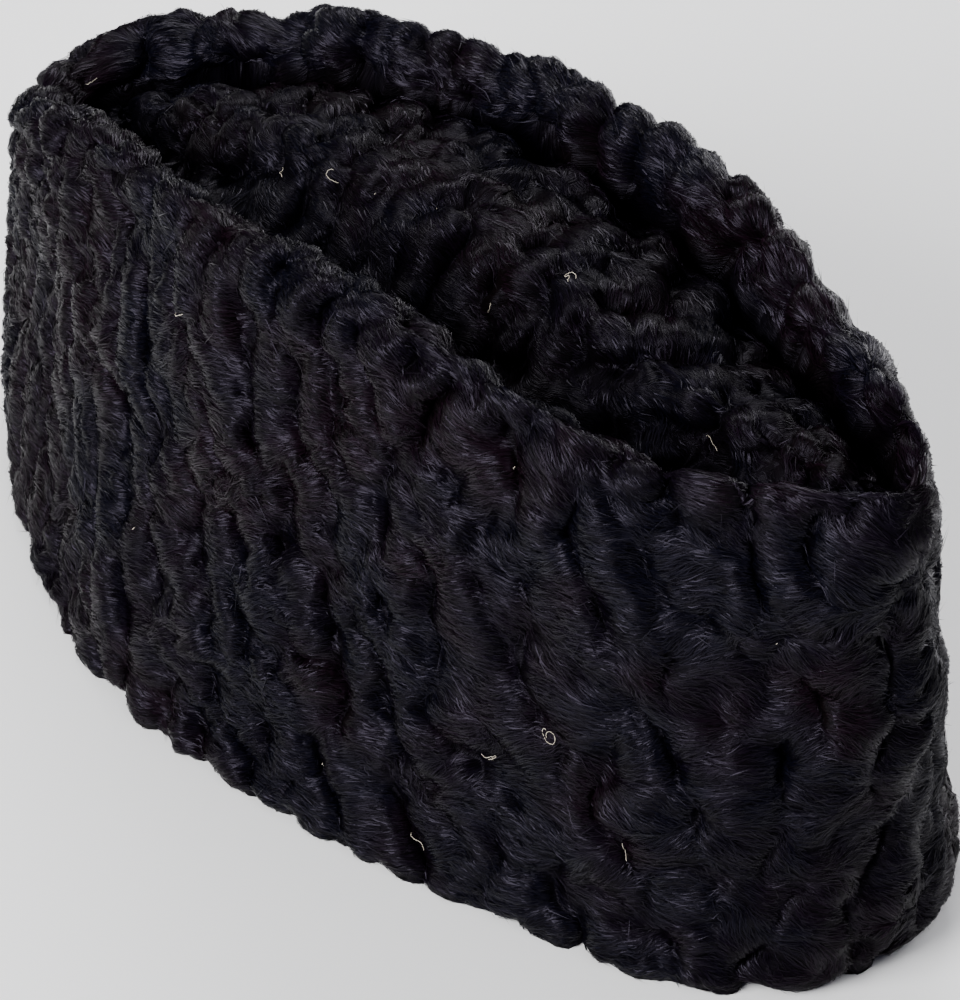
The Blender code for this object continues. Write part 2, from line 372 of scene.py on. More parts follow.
def band_inside(turn):
    """The side band's bare side: down the sewn face of the crease, under the rim and down to the hem."""
    along = np.cos(turn)
    rim = outline(turn, RIM_HALF_LENGTH, RIM_FULL)
    crease = outline(turn, CREASE_HALF_LENGTH, CREASE_FULL, middle=CREASE_MIDDLE)
    hem_in = outline(turn, HEM_HALF_LENGTH - WALL_THICKNESS, HEM_FULL, -WALL_THICKNESS)
    top = station_value(RIM_HEIGHT, along) * MM
    low = top - crease_depth(turn, np.sign(np.sin(turn)))
    corner = blend(crease, rim, CEILING_REACH)
    ceiling = low - PELT_DEPTH - CEILING_DROP
    rows = [raised(crease, low - PELT_DEPTH)]
    for k in range(INNER_ROWS + 1):
        share = k / INNER_ROWS
        rows.append(raised(blend(corner, hem_in, share), blend(ceiling, 0, share)))
    return np.array(rows)


def swell(sides):
    """How far the crown has risen across it, from 0 at each crease to 1 at its ridge.

    On its right it sags below the crease first and then climbs steeply.
    """
    room = 1 - sides**2
    sag = (2 * sides)**2 * room
    return np.where(sides < 0, room**RIGHT_SWELL - RIGHT_SAG * sag, room**LEFT_SWELL)


def crown_loops(turns, sides):
    """The crown's surface without its curls: one loop for each station from front to back.

    A loop goes over the fur from the right crease to the left one, and back along the bare underside.
    """
    along = np.cos(turns)[:, None]
    edge = outline(turns, CROWN_HALF_LENGTH, CREASE_FULL, -SEAM_GAP, CREASE_MIDDLE)
    depth = crease_depth(turns[:, None], sides)
    low = station_value(RIM_HEIGHT, along) * MM - depth
    rise = depth - station_value(RIDGE_DEPTH, along) * MM
    height = low + rise * (1 - along**END_SWELL) * swell(sides)
    top = np.stack([edge[:, :1] + 0 * sides, edge[:, 1:] * sides, height], axis=-1)
    step = (len(sides) - 1) // UNDER_STRIPS
    under = top[:, ::-step] - np.array([0, 0, CROWN_PELT_DEPTH])
    return np.concatenate([top, under], axis=1)


def steps_along(points):
    """The steps from point to point of a grid, along its rows and up its columns."""
    round_step = (np.roll(points, -1, axis=1) - np.roll(points, 1, axis=1)) / 2
    up_step = np.gradient(points, axis=0)
    return round_step, up_step


def unit(vectors):
    length = np.linalg.norm(vectors, axis=-1, keepdims=True)
    return vectors / np.maximum(length, 1e-12)


def smoothed(values, passes):
    """A grid of values, averaged a few times with its neighbours along rows and columns."""
    for _ in range(passes):
        values = (np.roll(values, 1, axis=1) + 2 * values + np.roll(values, -1, axis=1)) / 4
        ends = np.concatenate([values[:1], values, values[-1:]])
        values = (ends[:-2] + 2 * values + ends[2:]) / 4
    return values


def billowed(points, climbs, rng):
    """The band's surface with slow swells, which end before its hem and its crease."""
    normal = unit(np.cross(*steps_along(points)))
    fade = np.clip(BILLOW_FADE * climbs, 0, 1) * np.clip(BILLOW_FADE * (1 - climbs), 0, 1)
    swells = np.clip(slow_noise(points, BILLOW_PATCH, rng), -1, 1)
    return points + normal * (BILLOW * swells * fade[:, None])[..., None]


def reached(x, change):
    """How much of a change along the cap is done at x, from 0 to 1."""
    start, length = change
    return np.clip((x - start) / length, 0, 1)


def region_values(points, on_rim, rng):
    """Each point's curl values, blended between the regions."""
    names = ("back", "middle", "front", "rim", "back_rim", "front_rim")
    back, middle, front, rim, back_rim, front_rim = (np.array(REGIONS[name]) for name in names)
    x = points[..., 0]
    to_front = reached(x, TO_FRONT)[..., None]
    to_back = reached(x, TO_BACK)[..., None]
    wall = blend(blend(middle, front, to_front), back, to_back)
    rims = blend(blend(rim, front_rim, to_front), back_rim, to_back)
    rims[..., RELIEF] *= 1 - TIP_DROP * reached(x, TO_TIP)
    values = blend(wall, rims, on_rim[..., None])
    return unsettled(values, points, rng)


def unsettled(values, points, rng):
    """The curls' values with calm patches of even waves and restless ones of whorls, and uneven widths."""
    unrest = np.clip(1 + UNREST * slow_noise(points, UNREST_PATCH, rng), *UNREST_LIMITS)
    breadth = np.clip(1 + BREADTH_SWING * slow_noise(points, UNREST_PATCH, rng), *BREADTH_LIMITS)
    values = values.copy()
    values[..., WIDTH] *= breadth
    values[..., STRAY] *= unrest
    values[..., SPREAD] *= unrest
    return values


def curl_field(points, values, carrier, rng):
    """A complex wave over a grid whose angle is the place across each curl: 0 on a crest, pi in a valley.

    It is a sum of short wave packets, each as wide and slanted as its region asks. Where their phases follow
    the carrier the curls stay long and even, and where they stray the curls break, fork and swirl.
    """
    rows, columns = points.shape[:2]
    round_step, up_step = steps_along(points)
    area = np.linalg.norm(np.cross(round_step, up_step), axis=-1)
    across = unit(round_step)
    normal = unit(np.cross(round_step, up_step))
    upward = np.cross(normal, across)
    width = values[..., WIDTH] * MM
    weight = area / width**2
    count = int(KERNELS_PER_CURL * weight.sum())
    chosen = rng.choice(rows * columns, size=count, p=(weight / weight.sum()).ravel())
    field = np.zeros((rows, columns), complex)
    pull = np.zeros((rows, columns))
    offsets = np.arange(-KERNEL_WINDOW, KERNEL_WINDOW + 1)
    window = (1 - (offsets / (KERNEL_WINDOW + 1)) ** 2) ** 2
    for place in chosen:
        row, column = divmod(int(place), columns)
        wide, _, stray, slant, spread = values[row, column, :SMALLER]
        angle = math.radians(-slant + spread * rng.normal() * KERNEL_SLANT)
        wave = 2 * math.pi / (wide * MM * (1 + KERNEL_WIDTH_SCATTER * rng.normal()))
        wave = wave * (math.cos(angle) * across[row, column] + math.sin(angle) * upward[row, column])
        phase = carrier[row, column] + 2 * math.pi * stray * rng.uniform(-1, 1)
        near_rows = row + offsets[(row + offsets >= 0) & (row + offsets < rows)]
        near_columns = (column + offsets) % columns
        away = points[near_rows[:, None], near_columns] - points[row, column]
        sigma = KERNEL_SIGMA * wide * MM
        strength = np.exp(-(away**2).sum(-1) / (2 * sigma**2))
        strength = strength * window[near_rows - row + KERNEL_WINDOW][:, None] * window
        packet = strength * np.exp(1j * (away @ wave + phase))
        field[near_rows[:, None], near_columns] += packet
        pull[near_rows[:, None], near_columns] += strength
    return field / np.maximum(pull, 1e-9)


def phase_slope(field, points):
    """The way across the curls at each point, as steps in grid columns and rows for a metre of surface."""
    ahead = np.angle(np.roll(field, -1, axis=1) * np.conj(field))
    along_row = (ahead + np.roll(ahead, 1, axis=1)) / 2
    above = np.angle(field[1:] * np.conj(field[:-1]))
    above = np.concatenate([above[:1], above, above[-1:]])
    along_column = (above[1:] + above[:-1]) / 2
    round_step, up_step = steps_along(points)
    e = (round_step**2).sum(-1)
    f = (round_step * up_step).sum(-1)
    g = (up_step**2).sum(-1)
    area = np.maximum(e * g - f * f, 1e-14)
    columns = (g * along_row - f * along_column) / area
    rows = (e * along_column - f * along_row) / area
    way = columns[..., None] * round_step + rows[..., None] * up_step
    # Near a fork the slope is wild, so each point takes the mean way of the strong waves round it.
    strength = np.abs(field)[..., None] ** 2
    return unit(smoothed(way * strength, 3))


def slow_noise(points, wavelength, rng):
    """Smooth random numbers over the points, mostly from -1 to 1, that change over about a wavelength."""
    total = np.zeros(points.shape[:-1])
    for _ in range(NOISE_WAVES):
        direction = unit(rng.normal(size=3)) * 2 * math.pi / (wavelength * rng.uniform(0.7, 1.5))
        total += np.cos(points @ direction + rng.uniform(0, 2 * math.pi))
    return total / math.sqrt(NOISE_WAVES)


def wave_moves(field, values, way, fullness, furred):
    """How far one set of waves moves each point out of the surface and along it.

    Each wave is round-topped between narrow valleys and leans a little.
    """
    phase = np.angle(field)
    firm = np.clip(np.abs(field) / FIRM_WAVE, 0, 1)
    relief = values[..., RELIEF] * MM * furred * fullness
    width = values[..., WIDTH] * MM
    rise = np.abs(np.cos(phase / 2)) ** VALLEY_SHARPNESS
    height = relief * ((rise - 1) * firm - (1 - firm) * SLACK_DROP)
    shift = ROUNDING * width / (2 * math.pi) * np.sin(phase) + LEAN * relief * (1 + np.cos(phase)) / 2
    side = way * (shift * firm * furred * np.clip(fullness, 0, 1))[..., None]
    return height, side


def curled(points, carrier, values, furred, rng):
    """The curled skin over a grid, and on it the hairs' way, the curls' wave and the depth of their valleys.

    Furred is 1 where fur grows, and 0 on a bare side.
    """
    round_step, up_step = steps_along(points)
    normal = unit(np.cross(round_step, up_step))
    field = curl_field(points, values, carrier, rng)
    wide, relief, _, slant, spread, smaller = np.moveaxis(values, -1, 0)
    fine_values = np.stack(
        [wide * FINE_WIDTH, relief * smaller, FINE_STRAY + 0 * wide, slant, spread * FINE_SPREAD], axis=-1
    )
    fine_field = curl_field(points, fine_values, np.zeros(points.shape[:2]), rng)
    way, fine_way = phase_slope(field, points), phase_slope(fine_field, points)
    patches = [slow_noise(points, FULLNESS_PATCH * share, rng) for share in (1, FINE_PATCH)]
    full = [np.clip(FULLNESS + FULLNESS_SWING * patch, *FULLNESS_LIMITS) for patch in patches]
    height, side = wave_moves(field, values, way, full[0], furred)
    fine_height, fine_side = wave_moves(fine_field, fine_values, fine_way, full[1], furred)
    height = height + fine_height - SKIN_INSET * furred
    deeper = np.maximum(-PIT_KNEE - height, 0)
    height = np.maximum(height, -PIT_KNEE) - PIT_ROOM * np.tanh(deeper / PIT_ROOM)
    depth = relief * full[0] * np.clip(np.abs(field) / FIRM_WAVE, 0, 1)
    skin = points + normal * height[..., None] + side + fine_side
    return skin, unit(way + FINE_PULL * fine_way), field, depth


def wander(climb, column, columns):
    """How far a curl has strayed from its even place at a share of the way up, in curls."""
    round_cap = 2 * math.pi * column / columns
    slant = CURL_SLANT * np.sin(SLANT_CLIMB[0] * climb + SLANT_CLIMB[1])
    slant = slant * np.sin(SLANT_WAVES * round_cap + 1)
    sway = CURL_SWAY * np.sin(SWAY_CLIMB * climb + SWAY_WAVES * round_cap)
    return (slant + sway) * (1 - climb**3)


def at_grid(grid, row, column):
    """Values of a grid between its points, by their row and column as fractions."""
    rows, columns = grid.shape[:2]
    row = np.clip(row, 0, rows - 1.001)
    r = row.astype(int)
    c = np.floor(column).astype(int)
    fr = (row - r)[..., None]
    fc = (column - c)[..., None]
    a = grid[r, c % columns] * (1 - fc) + grid[r, (c + 1) % columns] * fc
    b = grid[r + 1, c % columns] * (1 - fc) + grid[r + 1, (c + 1) % columns] * fc
    return a * (1 - fr) + b * fr


def spread_places(area, count, rng):
    """Rows and columns of places spread evenly over a grid's surface."""
    share = np.cumsum(area.ravel())
    picks = (np.arange(count) + rng.uniform(0, 1, count)) / count * share[-1]
    found = np.searchsorted(share, picks)
    row, column = np.divmod(found, area.shape[1])
    return row + rng.uniform(0, 1, count) - 0.5, column + rng.uniform(0, 1, count) - 0.5


def grid_moves(directions, points):
    """A surface direction at each grid point as the rows and columns to go for each metre."""
    round_step, up_step = steps_along(points)
    e = (round_step**2).sum(-1)
    f = (round_step * up_step).sum(-1)
    g = (up_step**2).sum(-1)
    area = np.maximum(e * g - f * f, 1e-14)
    on_row = (directions * round_step).sum(-1)
    on_column = (directions * up_step).sum(-1)
    return np.stack([e * on_column - f * on_row, g * on_row - f * on_column], axis=-1) / area[..., None]


def hairs(base, skin, way, field, depth, values, lock_count, rng):
    """Ribbons of five points, two pairs and a tip, for hairs that lie across the curls in small locks."""
    count = lock_count * HAIRS_PER_LOCK
    round_step, up_step = steps_along(base)
    normal = unit(np.cross(round_step, up_step))
    area = np.linalg.norm(np.cross(round_step, up_step), axis=-1)
    across = grid_moves(way, base)
    along = grid_moves(np.cross(normal, way), base)
    skin_round, skin_up = steps_along(skin)
    skin_normal = unit(smoothed(unit(np.cross(skin_round, skin_up)), 2))

    def per_lock(numbers):
        return np.repeat(numbers, HAIRS_PER_LOCK)

    def half_shared():
        """A number from 0 to 1 for each hair, half of it shared by its lock."""
        return 0.5 * per_lock(rng.uniform(0, 1, lock_count)) + 0.5 * rng.uniform(0, 1, count)

    row, column = spread_places(area, lock_count, rng)
    row = per_lock(row) + LOCK_SPREAD * rng.uniform(-1, 1, count)
    column = per_lock(column) + LOCK_SPREAD * rng.uniform(-1, 1, count)
    lift = half_shared()
    tilt = HAIR_TILT + per_lock(rng.normal(0, LOCK_SWAY, lock_count)) + rng.normal(0, HAIR_SWAY, count)
    wild = np.where(rng.uniform(0, 1, count) < WILD_SHARE, rng.uniform(*WILD_LIMITS, count), 0.0)
    tilt = tilt + wild * rng.normal(0, 0.5, count)

    def moves(distance):
        straight = at_grid(across, row, column) * (np.cos(tilt) * distance)[:, None]
        aside = at_grid(along, row, column) * (np.sin(tilt) * distance)[:, None]
        step = straight - aside
        rows_on = np.clip(step[:, 0], -MOST_ROWS, MOST_ROWS)
        return rows_on, np.clip(step[:, 1], -MOST_COLUMNS, MOST_COLUMNS)

    width = at_grid(values[..., WIDTH, None], row, column)[:, 0] * MM
    wave = at_grid(np.stack([field.real, field.imag], axis=-1), row, column)
    phase = np.arctan2(wave[:, 1], wave[:, 0])
    # Where a valley is deep, no hair starts past the crest's far shoulder or reaches across it.
    deep = at_grid(depth[..., None], row, column)[:, 0]
    deep = np.clip((deep - SHALLOW) / (DEEP - SHALLOW), 0, 1)
    back = np.maximum(phase - LAST_ROOT, 0) / (2 * math.pi) * width * deep
    step = moves(back)
    row, column = row - step[0], column - step[1]
    room = (LAST_TIP - np.minimum(phase, LAST_ROOT)) / (2 * math.pi) * width
    room = room * rng.uniform(*ROOM_LIMITS, count)
    length = HAIR_LENGTH * rng.uniform(*LENGTH_LIMITS, count)
    length = blend(length, np.minimum(length, room), deep)
    length = length * (1 + wild * 0.5)
    places, normals = [], []
    for share in (0.0, HAIR_BEND, 1 - HAIR_BEND):
        step = moves(length * share)
        row, column = row + step[0], column + step[1]
        places.append(at_grid(skin, row, column))
        normals.append(unit(at_grid(skin_normal, row, column)))
    lifts = (
        -ROOT_DEPTH * MM + 0 * lift,
        (BEND_LIFT[0] + BEND_LIFT[1] * lift) * MM,
        (TIP_LIFT[0] + TIP_LIFT[1] * lift + WILD_LIFT * wild) * MM,
    )
    spine = [place + out * up[:, None] for place, out, up in zip(places, normals, lifts)]
    roll = rng.normal(0, HAIR_ROLL, count)[:, None]
    thick = (rng.uniform(*WIDTH_LIMITS, count) * HAIR_WIDTH / 2)[:, None]
    aside = unit(np.cross(normals[1], spine[2] - spine[0]))
    half = (aside * np.cos(roll) + normals[1] * np.sin(roll)) * thick
    tones = half_shared()
    root = half * ROOT_WIDTH
    ribbons = [spine[0] - root, spine[0] + root, spine[1] - half, spine[1] + half, spine[2]]
    return np.stack(ribbons, axis=1), tones


def hair_piece(name, ribbons, tones, material):
    """One mesh of many ribbons, each of a four-sided face and a pointed tip."""
    count = len(ribbons)
    ribbons[..., 2] = np.maximum(ribbons[..., 2], HAIR_CLEARANCE)
    corners = (np.arange(count)[:, None] * 5 + np.array([0, 1, 3, 2, 2, 3, 4])).ravel()
    starts = (np.arange(count)[:, None] * 7 + np.array([0, 4])).ravel()
    totals = np.tile([4, 3], count)
    mesh = bpy.data.meshes.new(name)
    mesh.vertices.add(count * 5)
    mesh.vertices.foreach_set("co", ribbons.astype(np.float32).ravel())
    mesh.loops.add(len(corners))
    mesh.loops.foreach_set("vertex_index", corners.astype(np.int32))
    mesh.polygons.add(count * 2)
    mesh.polygons.foreach_set("loop_start", starts.astype(np.int32))
    mesh.polygons.foreach_set("loop_total", totals.astype(np.int32))
    mesh.update(calc_edges=True)
    strand = mesh.uv_layers.new(name="strand")
    strand.uv.foreach_set("vector", np.tile(np.array(RIBBON_PLACES).ravel(), count).astype(np.float32))
    tone = mesh.attributes.new("tone", "FLOAT", "POINT")
    tone.data.foreach_set("value", np.repeat(tones, 5).astype(np.float32))
    mesh.shade_smooth()
    mesh.materials.append(material)
    piece = bpy.data.objects.new(name, mesh)
    bpy.context.scene.collection.objects.link(piece)
    return piece


def lint_paths(rows, base, skin, rng):
    """The path of each pale fibre: from its place it wanders over the hairs, bending and crinkling."""
    round_step, up_step = steps_along(base)
    across = grid_moves(unit(round_step), base)
    upward = grid_moves(unit(np.cross(np.cross(round_step, up_step), round_step)), base)
    skin_normal = unit(smoothed(unit(np.cross(*steps_along(skin))), 4))
    paths = []
    for row, column, length, heading, bend, crinkle in rows:
        row, column = np.array([row * (base.shape[0] - 1.0)]), np.array([column * 1.0])
        heading = math.radians(heading)
        path = []
        for step in range(max(2, round(length * MM / LINT_STEP))):
            ahead = at_grid(across, row, column) * math.cos(heading)
            ahead = ahead + at_grid(upward, row, column) * math.sin(heading)
            row, column = row + ahead[:, 0] * LINT_STEP, column + ahead[:, 1] * LINT_STEP
            heading += math.radians(bend * LINT_STEP / MM + crinkle * rng.normal())
            lift = LINT_LIFT + LINT_LIFT_SWING * math.sin(step * LINT_LIFT_PACE)
            path.append((at_grid(skin, row, column) + at_grid(skin_normal, row, column) * lift)[0])
        paths.append(path)
    return paths


def lint_piece(name, paths, material):
    """Thin round fibres along the paths, as one mesh."""
    curve = bpy.data.curves.new(name, "CURVE")
    curve.dimensions = "3D"
    curve.bevel_depth = LINT_RADIUS
    curve.bevel_resolution = 1
    curve.use_fill_caps = True
    for path in paths:
        spline = curve.splines.new("POLY")
        spline.points.add(len(path) - 1)
        for point, place in zip(spline.points, path):
            point.co = (*place, 1)
    shape = bpy.data.objects.new(name + "_curve", curve)
    bpy.context.scene.collection.objects.link(shape)
    bpy.context.view_layer.update()
    mesh = bpy.data.meshes.new_from_object(shape.evaluated_get(bpy.context.evaluated_depsgraph_get()))
    bpy.data.objects.remove(shape, do_unlink=True)
    mesh.name = name
    mesh.materials.clear()
    mesh.materials.append(material)
    mesh.shade_smooth()
    piece = bpy.data.objects.new(name, mesh)
    bpy.context.scene.collection.objects.link(piece)
    return piece


def strand_map(mesh, points, way, rng):
    """Gives a skin a UV map in millimetres, U across the hairs and V along them, in lock-like patches."""
    round_step, up_step = steps_along(points)
    facing = np.cross(round_step, up_step)
    area = np.linalg.norm(facing, axis=-1)
    row, column = spread_places(area, int(area.sum() / PATCH_AREA), rng)
    centres = at_grid(points, row, column)
    along = unit(at_grid(way, row, column))
    aside = unit(np.cross(at_grid(facing, row, column), along))
    tree = KDTree(len(centres))
    for index, centre in enumerate(centres):
        tree.insert(centre, index)
    tree.balance()
    middles = np.empty(len(mesh.polygons) * 3)
    mesh.polygons.foreach_get("center", middles)
    middles = middles.reshape(-1, 3)
    near = np.array([[found[1] for found in tree.find_n(middle, PATCH_CHOICES)] for middle in middles])
    away = (middles[:, None] - centres[near]) / MM
    reach = ((away * aside[near]).sum(-1) / PATCH_WIDTH) ** 2
    reach = reach + ((away * along[near]).sum(-1) / PATCH_LENGTH) ** 2
    patch = near[np.arange(len(near)), reach.argmin(axis=1)]
    sizes = np.empty(len(mesh.polygons), int)
    mesh.polygons.foreach_get("loop_total", sizes)
    patch = np.repeat(patch, sizes)
    corners = np.empty(len(mesh.loops), int)
    mesh.loops.foreach_get("vertex_index", corners)
    places = np.empty(len(mesh.vertices) * 3)
    mesh.vertices.foreach_get("co", places)
    away = (places.reshape(-1, 3)[corners] - centres[patch]) / MM
    start = rng.uniform(0, 100, (len(centres), 2))
    across = (away * aside[patch]).sum(-1) + start[patch, 0]
    length = (away * along[patch]).sum(-1) + start[patch, 1]
    strand = mesh.uv_layers.new(name="strand")
    strand.uv.foreach_set("vector", np.stack([across, length], axis=-1).ravel().astype(np.float32))


def fused_grid(name, points, ring, materials, bare):
    """A closed body from a grid of points, rows by columns, joined all round its columns.

    A ring's last row also joins its first one. Otherwise both are folded flat, and close themselves. Bare is
    true for the grid's squares that get the second material.
    """
    rows, columns = points.shape[:2]
    mesh_grid = bmesh.new()
    bmesh.ops.create_grid(mesh_grid, x_segments=columns, y_segments=rows if ring else rows - 1, size=1)
    flat = points.reshape(-1, 3).tolist()
    for index, vertex in enumerate(mesh_grid.verts):
        row, column = divmod(index, columns + 1)
        vertex.co = flat[(row % rows) * columns + column % columns]
    for face, is_bare in zip(mesh_grid.faces, bare.ravel().tolist()):
        face.material_index = int(is_bare)
        face.smooth = True
    bmesh.ops.remove_doubles(mesh_grid, verts=mesh_grid.verts, dist=1e-6)
    bmesh.ops.recalc_face_normals(mesh_grid, faces=mesh_grid.faces)
    mesh = bpy.data.meshes.new(name)
    mesh_grid.to_mesh(mesh)
    mesh_grid.free()
    for material in materials:
        mesh.materials.append(material)
    piece = bpy.data.objects.new(name, mesh)
    bpy.context.scene.collection.objects.link(piece)
    return piece


def linear(code):
    """An sRGB hex colour as the linear values that a shader takes."""
    parts = [int(code[k:k + 2], 16) / 255 for k in (1, 3, 5)]
    return tuple(c / 12.92 if c <= 0.04045 else ((c + 0.055) / 1.055) ** 2.4 for c in parts) + (1.0,)


def add_node(tree, kind, settings=None, **links):
    """Adds a node, sets its properties and sockets, and links its sockets to other nodes' outputs."""
    node = tree.nodes.new(kind)
    for name, value in (settings or {}).items():
        if isinstance(name, int) or name in node.inputs:
            node.inputs[name].default_value = value
        else:
            setattr(node, name, value)
    for name, output in links.items():
        tree.links.new(output, node.inputs[name.replace("_", " ")])
    return node


def new_material(name):
    material = bpy.data.materials.new(name)
    material.use_nodes = True
    material.node_tree.nodes.clear()
    return material, material.node_tree


def lamb_fibre(name, base_tones, lustre, fibre_colour, relief):
    """Black dyed lamb's hair: near black, with a soft lustre across the hairs, redder in patches."""
    material, tree = new_material(name)
    place = add_node(tree, "ShaderNodeTexCoord")
    patches = add_node(
        tree, "ShaderNodeTexNoise", {"Scale": 38.0, "Detail": 2.0},
        Vector=place.outputs["Object"],
    )
    ramp = add_node(tree, "ShaderNodeValToRGB", Fac=patches.outputs["Fac"])
    for element, position, tone in zip(ramp.color_ramp.elements, (0.38, 0.58), base_tones):
        element.position = position
        element.color = linear(tone)
    tangent = add_node(tree, "ShaderNodeTangent", {"direction_type": "UV_MAP", "uv_map": "strand"})
    value, bump = fibre_colour(tree)
    colour = add_node(tree, "ShaderNodeVectorMath", {"operation": "SCALE"}, Scale=value)
    tree.links.new(ramp.outputs["Color"], colour.inputs[0])
    surface = add_node(tree, "ShaderNodeBsdfPrincipled", lustre, Tangent=tangent.outputs["Tangent"])
    if bump:
        ridges = add_node(tree, "ShaderNodeBump", {"Strength": 1.0, "Distance": relief}, Height=bump)
        tree.links.new(ridges.outputs["Normal"], surface.inputs["Normal"])
    surface.inputs["Specular Tint"].default_value = LUSTRE_TINT
    tree.links.new(colour.outputs["Vector"], surface.inputs["Base Color"])
    add_node(tree, "ShaderNodeOutputMaterial", Surface=surface.outputs["BSDF"])
    return material


def karakul_hair():
    """The outer hairs, each with its own tone."""
    def fibre(tree):
        tone = add_node(tree, "ShaderNodeAttribute", {"attribute_name": "tone"})
        bright = add_node(
            tree, "ShaderNodeMapRange", {"To Min": 0.6, "To Max": 1.5},
            Value=tone.outputs["Fac"],
        )
        return bright.outputs["Result"], None

    lustre = {"Roughness": 0.36, "IOR": 1.55, "Specular IOR Level": 0.1, "Anisotropic": 0.7}
    return lamb_fibre("karakul_lamb_hair_black", ("#0e050b", "#04040b"), lustre, fibre, None)


def karakul_skin():
    """The dense hair below the outer hairs, drawn as strands about a quarter of a millimetre apart."""
    def fibre(tree):
        place = add_node(tree, "ShaderNodeUVMap", {"uv_map": "strand"})
        stretch = add_node(tree, "ShaderNodeMapping", {"vector_type": "POINT"}, Vector=place.outputs["UV"])
        stretch.inputs["Scale"].default_value = (1 / STRAND_PITCH, 1 / STRAND_LENGTH, 1)
        strands = add_node(
            tree, "ShaderNodeTexNoise", {"noise_dimensions": "2D", "Scale": 1.0, "Detail": 1.5},
            Vector=stretch.outputs["Vector"],
        )
        bright = add_node(
            tree, "ShaderNodeMapRange", {"From Min": 0.3, "From Max": 0.7, "To Min": 0.2, "To Max": 1.3},
            Value=strands.outputs["Fac"],
        )
        return bright.outputs["Result"], strands.outputs["Fac"]

    lustre = {"Roughness": 0.38, "IOR": 1.55, "Specular IOR Level": 0.06, "Anisotropic": 0.6}
    return lamb_fibre("karakul_underfur_black", ("#090506", "#040307"), lustre, fibre, 0.0003)


def bare_pelt():
    """The pelt's dyed flesh side: matt suede, charcoal grey."""
    material, tree = new_material("dyed_suede_charcoal")
    place = add_node(tree, "ShaderNodeTexCoord")
    nap = add_node(
        tree, "ShaderNodeTexNoise", {"Scale": 900.0, "Detail": 4.0},
        Vector=place.outputs["Object"],
    )
    bump = add_node(tree, "ShaderNodeBump", {"Strength": 0.4, "Distance": 0.0004}, Height=nap.outputs["Fac"])
    surface = add_node(
        tree, "ShaderNodeBsdfPrincipled", {"Base Color": linear("#2b2a2d"), "Roughness": 0.9},
        Normal=bump.outputs["Normal"],
    )
    add_node(tree, "ShaderNodeOutputMaterial", Surface=surface.outputs["BSDF"])
    return material


def lint_cotton():
    """Loose cotton and wool fibres: matt, cream, a little uneven in tone."""
    material, tree = new_material("lint_cotton_cream")
    place = add_node(tree, "ShaderNodeTexCoord")
    patches = add_node(tree, "ShaderNodeTexNoise", {"Scale": 500.0}, Vector=place.outputs["Object"])
    ramp = add_node(tree, "ShaderNodeValToRGB", Fac=patches.outputs["Fac"])
    ramp.color_ramp.elements[0].color = linear("#a89c88")
    ramp.color_ramp.elements[1].color = linear("#ded6c6")
    surface = add_node(
        tree, "ShaderNodeBsdfPrincipled", {"Roughness": 0.8},
        Base_Color=ramp.outputs["Color"],
    )
    add_node(tree, "ShaderNodeOutputMaterial", Surface=surface.outputs["BSDF"])
    return material


def direction(turn, rise):
    return Vector((math.cos(turn) * math.cos(rise), math.sin(turn) * math.cos(rise), math.sin(rise)))


def stage():
    """A pale floor, soft studio lamps round the cap, and the camera at the photograph's angle."""
    floor_mesh = bmesh.new()
    bmesh.ops.create_grid(floor_mesh, x_segments=1, y_segments=1, size=FLOOR_HALF_WIDTH)
    mesh = bpy.data.meshes.new("floor")
    floor_mesh.to_mesh(mesh)
    floor_mesh.free()
    material, tree = new_material("studio_paper_white")
    surface = add_node(tree, "ShaderNodeBsdfPrincipled", {"Base Color": linear("#f4f4f4"), "Roughness": 0.9})
    add_node(tree, "ShaderNodeOutputMaterial", Surface=surface.outputs["BSDF"])
    mesh.materials.append(material)
    floor = bpy.data.objects.new("floor", mesh)
    bpy.context.scene.collection.objects.link(floor)

    for name, (turn, rise, size, power) in LAMPS.items():
        light = bpy.data.lights.new(name, "AREA")
        light.shape = "SQUARE"
        light.size = size
        light.energy = power
        lamp = bpy.data.objects.new(name, light)
        lamp.visible_camera = False
        away = direction(CAMERA_TURN + math.radians(turn), math.radians(rise))
        lamp.location = LAMP_AIM + away * LAMP_DISTANCE
        lamp.rotation_euler = away.to_track_quat("Z", "Y").to_euler()
        bpy.context.scene.collection.objects.link(lamp)

    world = bpy.data.worlds.new("studio")
    bpy.context.scene.world = world
    world.use_nodes = True
    world.node_tree.nodes["Background"].inputs["Color"].default_value = linear(WORLD_COLOUR)
    world.node_tree.nodes["Background"].inputs["Strength"].default_value = WORLD_STRENGTH

    way = direction(CAMERA_TURN, CAMERA_RISE)
    right = Vector((0, 0, 1)).cross(way).normalized()
    up = way.cross(right)
    turned_right = right * math.cos(CAMERA_ROLL) + up * math.sin(CAMERA_ROLL)
    turned_up = up * math.cos(CAMERA_ROLL) - right * math.sin(CAMERA_ROLL)
    data = bpy.data.cameras.new("camera")
    data.sensor_fit = "HORIZONTAL"
    data.sensor_width = SENSOR_WIDTH
    data.lens = SENSOR_WIDTH * FOCAL_WIDTHS
    camera = bpy.data.objects.new("camera", data)
    place = Matrix((turned_right, turned_up, way)).transposed().to_4x4()
    place.translation = CAMERA_AIM + way * CAMERA_DISTANCE
    camera.matrix_world = place
    bpy.context.scene.collection.objects.link(camera)
    bpy.context.scene.camera = camera


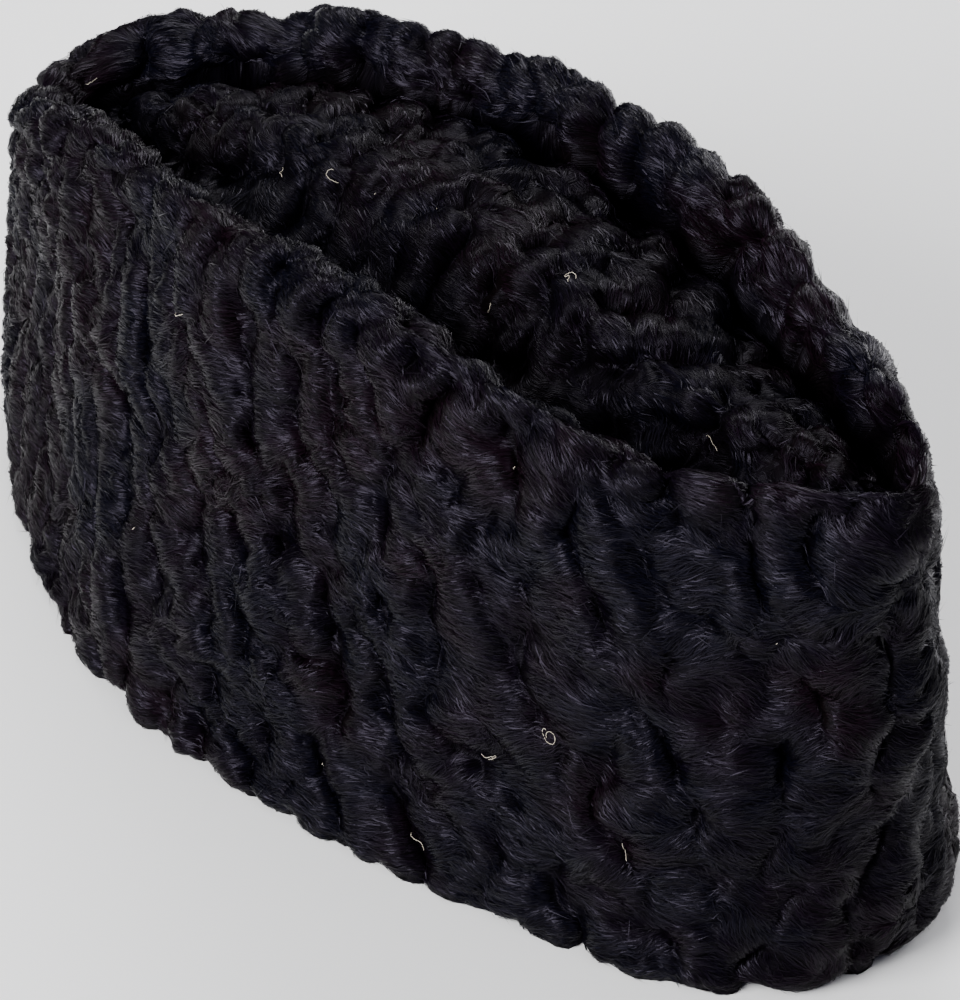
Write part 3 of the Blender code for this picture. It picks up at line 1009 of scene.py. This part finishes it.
def dressed_band(centre, hair, skin_fur, suede, rng):
    """Makes the side band's skin and its hairs in quarters round the cap, and returns its lint's paths."""
    column = np.arange(BAND_COLUMNS)
    turns = even_turns(column / BAND_COLUMNS)
    climbs = np.linspace(0, 1, BAND_ROWS)
    base = billowed(band_fur(turns, climbs) + centre, climbs, rng)
    on_rim = np.clip((climbs - WALL_SHARE + RIM_LEAD) / RIM_CHANGE, 0, 1)[:, None] * np.ones(BAND_COLUMNS)
    values = region_values(base, on_rim, rng)
    carrier = 2 * math.pi * (CURLS * column / BAND_COLUMNS - wander(climbs[:, None], column, BAND_COLUMNS))
    skin, way, field, depth = curled(base, carrier, values, 1, rng)
    skin[0, :, 2] = 0
    closed = np.concatenate([skin, band_inside(turns) + centre])
    bare = np.zeros(closed.shape[:2], bool)
    bare[BAND_ROWS:] = True
    band = fused_grid("side_band_fur", closed, True, (skin_fur, suede), bare)
    strand_map(band.data, skin, way, rng)
    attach(band, "root")
    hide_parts("side_band")
    ribbons, tones = hairs(base, skin, way, field, depth, values, BAND_LOCKS, rng)
    # The cap is about half as wide as it is long.
    where = np.arctan2(ribbons[:, 0, 1] / 0.5, ribbons[:, 0, 0])
    order = np.argsort(where, kind="stable")
    quarters = ("right_back", "right_front", "left_front", "left_back")
    for name, part in zip(quarters, np.array_split(order, len(quarters))):
        piece = hair_piece("band_hair_" + name, ribbons[part], tones[part], hair)
        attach(piece, "root")

    places = [(up, share * BAND_COLUMNS, *rest) for share, up, *rest in BAND_LINT]
    return lint_paths(places, base, skin, rng)


def dressed_crown(centre, hair, skin_fur, suede, rng):
    """Makes the crown's skin and its hairs, and returns its lint's paths."""
    sides = np.linspace(-1, 1, CROWN_STRIPS + 1)
    turns = np.linspace(0, math.pi, CROWN_STATIONS)
    base = crown_loops(turns, sides) + centre
    shape = base.shape[:2]
    bare = np.zeros(shape, bool)
    bare[:, len(sides):-1] = True
    everywhere = np.array(REGIONS["crown"])
    values = unsettled(np.broadcast_to(everywhere, (*shape, len(everywhere))), base, rng)
    furred = np.arange(shape[1]) < len(sides)
    skin, way, field, depth = curled(base, np.zeros(shape), values, furred, rng)
    crown = fused_grid("crown_fur", skin, False, (skin_fur, suede), bare)
    strand_map(crown.data, skin, way, rng)
    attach(crown, "root")
    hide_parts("crown")
    ribbons, tones = hairs(base, skin, way, field, depth, values, CROWN_LOCKS, rng)
    piece = hair_piece("crown_hair", ribbons, tones, hair)
    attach(piece, "root")
    places = [(back, share * CROWN_STRIPS, *rest) for back, share, *rest in CROWN_LINT]
    return lint_paths(places, base, skin, rng)


def main():
    stage()
    rng = np.random.default_rng(7)
    hair, skin_fur, suede = karakul_hair(), karakul_skin(), bare_pelt()
    low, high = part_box("crown")
    centre = np.array([(low[0] + high[0]) / 2 - CREASE_MIDDLE, (low[1] + high[1]) / 2, 0])

    lint = dressed_band(centre, hair, skin_fur, suede, rng)
    lint += dressed_crown(centre, hair, skin_fur, suede, rng)
    piece = lint_piece("stray_lint", lint, lint_cotton())
    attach(piece, "root")

    bpy.context.view_layer.update()


main()
